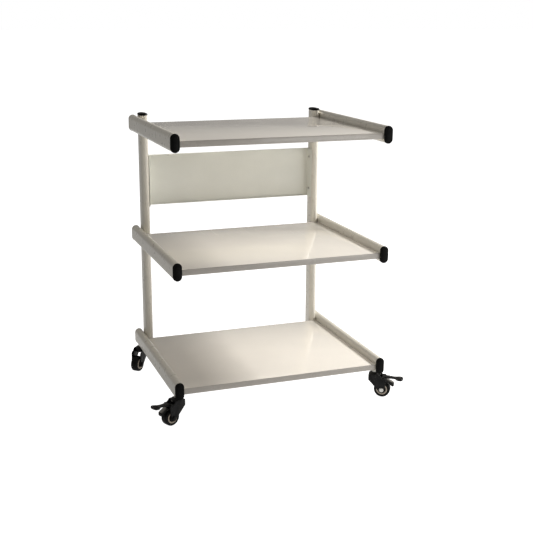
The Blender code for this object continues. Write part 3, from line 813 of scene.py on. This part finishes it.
def build_caster(name):
    place = caster_axes(name)
    braked = f"pedal_{name}" in frame["nodes"]
    swivel, wheel = f"swivel_{name}", f"wheel_{name}"
    axle = place @ Matrix.Translation((TRAIL, 0, WHEEL_R)) @ ACROSS
    head_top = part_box(f"fork_{name}")[1].z
    low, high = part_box(f"stem_{name}")
    arm_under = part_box(f"arm_bottom_{name.split('_')[1]}")[0].z
    piece(f"bolt_stem_{name}", placed(stem(low.z, high.z, head_top, arm_under), place),
          STEEL, "frame", [f"stem_{name}"])
    piece(f"fork_body_{name}", placed(fork(braked, head_top), place),
          CASTER_BLACK, swivel, [f"fork_{name}"])
    piece(f"tread_{name}", placed(tyre(), axle), TYRE_BLACK, wheel, [f"tyre_{name}"])
    piece(f"rim_{name}", placed(hub_ring(), axle), WHEEL_BEIGE, wheel, [f"hub_{name}"])
    piece(f"web_{name}", placed(hub_core(), axle), WHEEL_DARK, wheel, [])
    axle_bolt = piece(f"axle_bolt_{name}", placed(bolt(AXLE_R, AXLE_HEX, AXLE_HEAD_H), axle),
                      STEEL, swivel, [f"axle_{name}"])
    blackened(axle_bolt, axle)
    piece(f"rivets_fork_{name}", placed(rivet_heads(braked), place), DARK_STEEL, swivel, [])
    if braked:
        pivot = place @ Matrix.Translation((PEDAL_PIVOT[0], 0, PEDAL_PIVOT[1])) @ ACROSS
        piece(f"pedal_lever_{name}", placed(pedal(PEDAL_LIFT[name]), place),
              CASTER_BLACK, f"pedal_{name}", [f"pedal_{name}"])
        piece(f"pedal_rivet_{name}", placed(rivet(PIN_R, PIN_HEAD_R, PIN_HEAD_H), pivot),
              CASTER_BLACK, swivel, [f"pedal_pin_{name}"])
        plate = piece(f"plate_brake_{name}", placed(brake_plate(), place),
                      CASTER_BLACK, swivel, [f"brake_plate_{name}"])
        # painted highlight: the plate's up-facing top gets bare steel to stand in for light falling on it
        painted_lit_top(plate, place)


# ---- stage ----------------------------------------------------------------------------------------------
def build_floor():
    """A white floor: even to the camera, and brighter towards the right in the light it throws back."""
    bm = bmesh.new()
    bmesh.ops.create_grid(bm, x_segments=1, y_segments=1, size=FLOOR_HALF)
    floor = bpy.data.objects.new("floor", mesh_from(bm, "floor"))
    bpy.context.scene.collection.objects.link(floor)
    mat = bpy.data.materials.new("floor_white")
    mat.use_nodes = True
    tree = mat.node_tree
    shader = tree.nodes["Principled BSDF"]
    shader.inputs["Base Color"].default_value = (FLOOR_TONE, FLOOR_TONE, FLOOR_TONE, 1)
    shader.inputs["Roughness"].default_value = FLOOR_ROUGHNESS
    shader.inputs["Specular IOR Level"].default_value = 0.0
    shader.inputs["Emission Color"].default_value = (1, 1, 1, 1)
    along = tree.nodes.new("ShaderNodeVectorMath")
    along.operation = "DOT_PRODUCT"
    along.inputs[1].default_value = FLOOR_LEAN
    coords = tree.nodes.new("ShaderNodeTexCoord")
    tree.links.new(coords.outputs["Object"], along.inputs[0])
    rise = tree.nodes.new("ShaderNodeMapRange")
    rise.inputs["From Min"].default_value = FLOOR_FROM
    rise.inputs["From Max"].default_value = FLOOR_TO
    rise.inputs["To Min"].default_value = FLOOR_DIM
    rise.inputs["To Max"].default_value = FLOOR_BRIGHT
    tree.links.new(along.outputs["Value"], rise.inputs["Value"])
    path = tree.nodes.new("ShaderNodeLightPath")
    seen = tree.nodes.new("ShaderNodeMix")
    seen.inputs["B"].default_value = FLOOR_SEEN
    tree.links.new(path.outputs["Is Camera Ray"], seen.inputs["Factor"])
    tree.links.new(rise.outputs["Result"], seen.inputs["A"])
    tree.links.new(seen.outputs["Result"], shader.inputs["Emission Strength"])
    floor.data.materials.append(mat)
    floor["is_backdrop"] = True


def build_world():
    """Soft studio surroundings: white to the camera, and for the light dim low down and brighter above."""
    world = bpy.data.worlds.new("studio")
    bpy.context.scene.world = world
    world.use_nodes = True
    tree = world.node_tree
    tree.nodes.clear()
    out = tree.nodes.new("ShaderNodeOutputWorld")
    mix = tree.nodes.new("ShaderNodeMixShader")
    path = tree.nodes.new("ShaderNodeLightPath")
    plain = tree.nodes.new("ShaderNodeBackground")
    soft = tree.nodes.new("ShaderNodeBackground")
    plain.inputs["Color"].default_value = (1, 1, 1, 1)
    coords = tree.nodes.new("ShaderNodeTexCoord")
    weigh = tree.nodes.new("ShaderNodeVectorMath")
    weigh.operation = "DOT_PRODUCT"
    weigh.inputs[1].default_value = SKY_LEAN
    tree.links.new(coords.outputs["Generated"], weigh.inputs[0])
    spread = tree.nodes.new("ShaderNodeMapRange")
    spread.inputs["From Min"].default_value = SKY_FROM
    spread.inputs["From Max"].default_value = SKY_TO
    spread.inputs["To Min"].default_value = SKY_LOW
    spread.inputs["To Max"].default_value = SKY_HIGH
    tree.links.new(weigh.outputs["Value"], spread.inputs["Value"])
    soft.inputs["Color"].default_value = SKY_COLOUR
    tree.links.new(spread.outputs["Result"], soft.inputs["Strength"])
    tree.links.new(path.outputs["Is Camera Ray"], mix.inputs[0])
    tree.links.new(soft.outputs["Background"], mix.inputs[1])
    tree.links.new(plain.outputs["Background"], mix.inputs[2])
    tree.links.new(mix.outputs["Shader"], out.inputs["Surface"])


def area_light(name, at, towards, size, power, colour):
    data = bpy.data.lights.new(name, "AREA")
    data.shape = "RECTANGLE"
    data.size, data.size_y = size
    data.energy = power
    data.color = colour
    light = bpy.data.objects.new(name, data)
    light.location = at
    light.rotation_euler = (Vector(towards) - Vector(at)).to_track_quat("-Z", "Y").to_euler()
    bpy.context.scene.collection.objects.link(light)


def build_lights():
    low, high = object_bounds()
    centre = (low + high) / 2
    area_light("key_right", KEY_AT, centre, KEY_SIZE, KEY_POWER, KEY_COLOUR)
    area_light("fill_front", FILL_AT, centre, FILL_SIZE, FILL_POWER, FILL_COLOUR)


def build_camera():
    data = bpy.data.cameras.new("camera")
    data.sensor_width = SENSOR
    data.lens = CAMERA_LENS
    camera = bpy.data.objects.new("camera", data)
    bpy.context.scene.collection.objects.link(camera)
    camera.matrix_world = (
        Matrix.Translation(CAMERA_AT)
        @ Matrix.Rotation(math.radians(CAMERA_AZIMUTH), 4, "Z")
        @ Matrix.Rotation(math.radians(90 - CAMERA_DOWN), 4, "X")
        @ Matrix.Rotation(math.radians(CAMERA_ROLL), 4, "Z")
    )
    bpy.context.scene.camera = camera


build_tubes()
build_shelves()
build_panel()
build_screws()
for caster in ("front_left", "front_right", "rear_left", "rear_right"):
    build_caster(caster)
build_floor()
build_world()
build_lights()
build_camera()
bpy.context.scene.view_settings.view_transform = "Standard"

bpy.context.view_layer.update()
